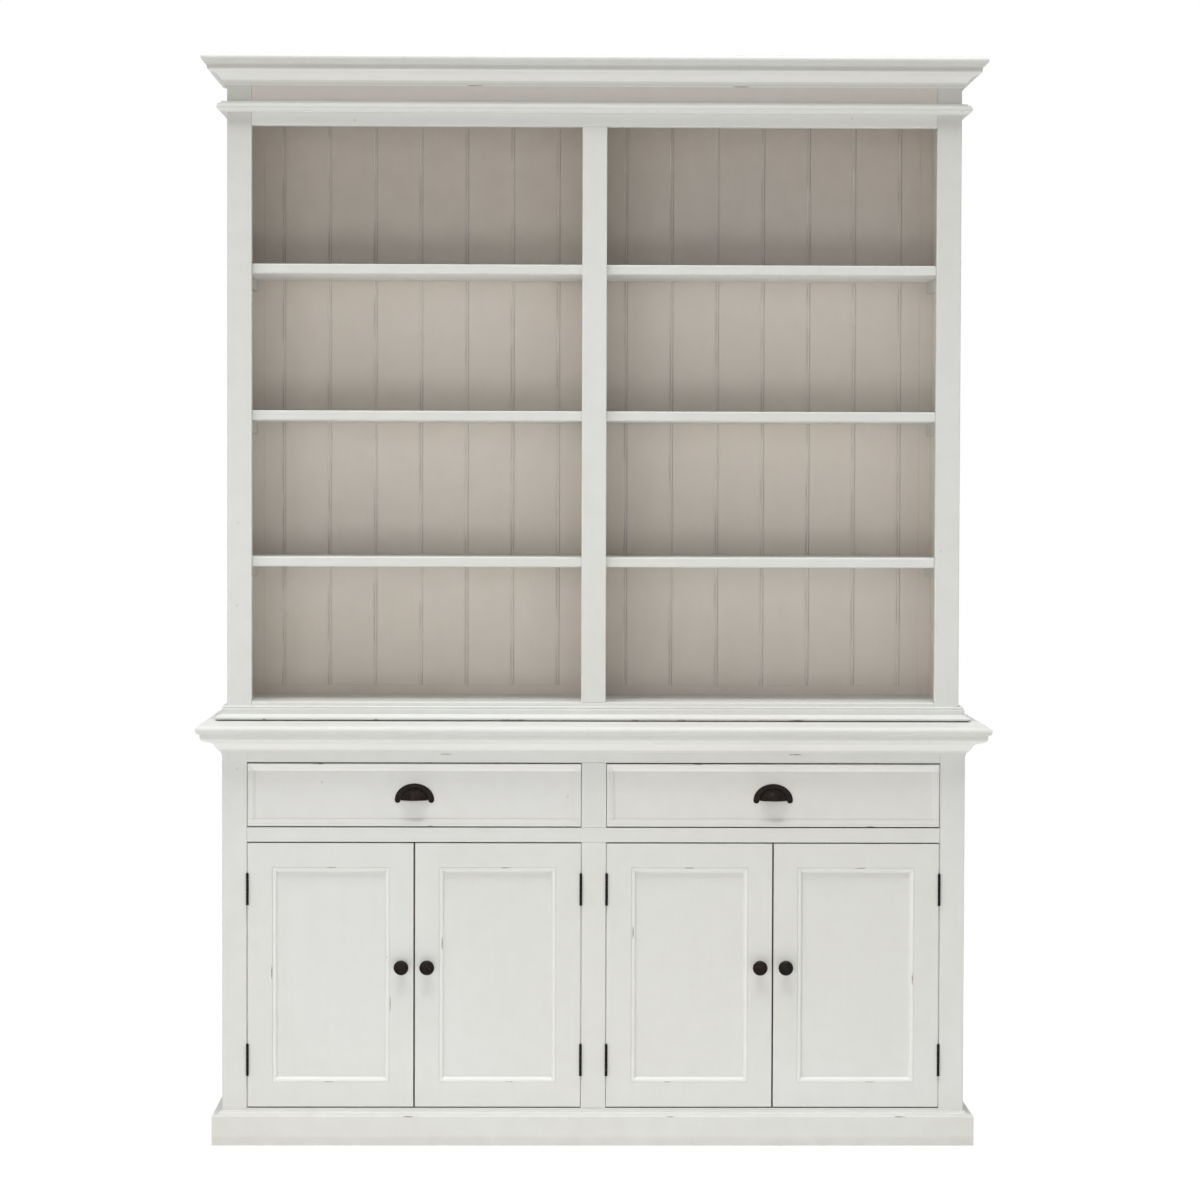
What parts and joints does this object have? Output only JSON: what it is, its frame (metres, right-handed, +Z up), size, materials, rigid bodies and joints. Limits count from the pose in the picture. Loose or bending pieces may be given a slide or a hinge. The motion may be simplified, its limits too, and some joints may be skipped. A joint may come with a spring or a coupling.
{
  "type": "hutch bookcase",
  "caption": "Tall painted-wood hutch: an open bookcase with a crown cornice and beaded back boards, on a moulded sideboard with cup-pull drawers and framed cupboard doors.",
  "frame": {"origin": "on the floor under the middle of the overall box, 250 mm in front of the back faces", "axes": "+Z up, the front faces -Y, +X to the right of someone who stands before it"},
  "size_m": [1.6, 0.5, 2.2061],
  "materials": {
    "painted_wood": "white eggshell paint on wood, lightly rubbed through at edges",
    "back_paint": "white eggshell paint on beaded boards, worn in the grooves",
    "inside_wood": "bare pine, sanded",
    "dark_bronze": "dark oil-rubbed bronze, satin",
    "hinge_steel": "black-bronze plated steel, satin",
    "catch_plastic": "plain moulded plastic"
  },
  "bodies": {
    "cabinet": {"hutch_side_left": "painted_wood", "hutch_side_right": "painted_wood", "hutch_partition": "painted_wood", "hutch_top": "painted_wood", "hutch_bottom": "painted_wood", "hutch_back_boards": "back_paint", "hutch_back_frame": "back_paint", "hutch_stile_left": "painted_wood", "hutch_stile_right": "painted_wood", "hutch_mullion": "painted_wood", "hutch_top_rail": "painted_wood", "hutch_bottom_rail": "painted_wood", "hutch_shelves": "painted_wood", "shelf_cleats": "painted_wood", "crown_moulding": "painted_wood", "frieze_bead": "painted_wood", "hutch_base_moulding": "painted_wood", "base_side_left": "painted_wood", "base_side_right": "painted_wood", "base_partition": "inside_wood", "base_bottom": "inside_wood", "base_back": "inside_wood", "dust_boards": "inside_wood", "base_stile_left": "painted_wood", "base_stile_right": "painted_wood", "base_mid_stiles": "painted_wood", "base_top_rail": "painted_wood", "base_mid_rail": "painted_wood", "base_bottom_rail": "painted_wood", "plinth": "painted_wood", "counter_top": "painted_wood", "counter_moulding": "painted_wood", "drawer_guides": "inside_wood", "cupboard_shelves": "inside_wood", "frame_hinge_leaves": "hinge_steel", "door_catches": "catch_plastic"},
    "drawer_left": {"drawer_left_front": "painted_wood", "drawer_left_moulding": "painted_wood", "drawer_left_box": "inside_wood", "drawer_left_pull": "dark_bronze"},
    "drawer_right": {"drawer_right_front": "painted_wood", "drawer_right_moulding": "painted_wood", "drawer_right_box": "inside_wood", "drawer_right_pull": "dark_bronze"},
    "door_1": {"door_1_frame": "painted_wood", "door_1_panel": "painted_wood", "door_1_knob": "dark_bronze", "door_1_hinge_leaves": "hinge_steel"},
    "door_2": {"door_2_frame": "painted_wood", "door_2_panel": "painted_wood", "door_2_knob": "dark_bronze", "door_2_hinge_leaves": "hinge_steel"},
    "door_3": {"door_3_frame": "painted_wood", "door_3_panel": "painted_wood", "door_3_knob": "dark_bronze", "door_3_hinge_leaves": "hinge_steel"},
    "door_4": {"door_4_frame": "painted_wood", "door_4_panel": "painted_wood", "door_4_knob": "dark_bronze", "door_4_hinge_leaves": "hinge_steel"}
  },
  "joints": [
    {"name": "drawer_left_slide", "type": "slide", "parent": "cabinet", "child": "drawer_left", "axis": [0, -1, 0], "range_m": [0, 0.3]},
    {"name": "drawer_right_slide", "type": "slide", "parent": "cabinet", "child": "drawer_right", "axis": [0, -1, 0], "range_m": [0, 0.3]},
    {"name": "door_1_hinge", "type": "hinge", "parent": "cabinet", "child": "door_1", "pos_m": [-0.699, -0.203, 0.344], "axis": [0, 0, -1], "range_deg": [0, 170]},
    {"name": "door_2_hinge", "type": "hinge", "parent": "cabinet", "child": "door_2", "pos_m": [-0.026, -0.203, 0.344], "axis": [0, 0, 1], "range_deg": [0, 90]},
    {"name": "door_3_hinge", "type": "hinge", "parent": "cabinet", "child": "door_3", "pos_m": [0.026, -0.203, 0.344], "axis": [0, 0, -1], "range_deg": [0, 90]},
    {"name": "door_4_hinge", "type": "hinge", "parent": "cabinet", "child": "door_4", "pos_m": [0.699, -0.203, 0.344], "axis": [0, 0, 1], "range_deg": [0, 170]}
  ]
}
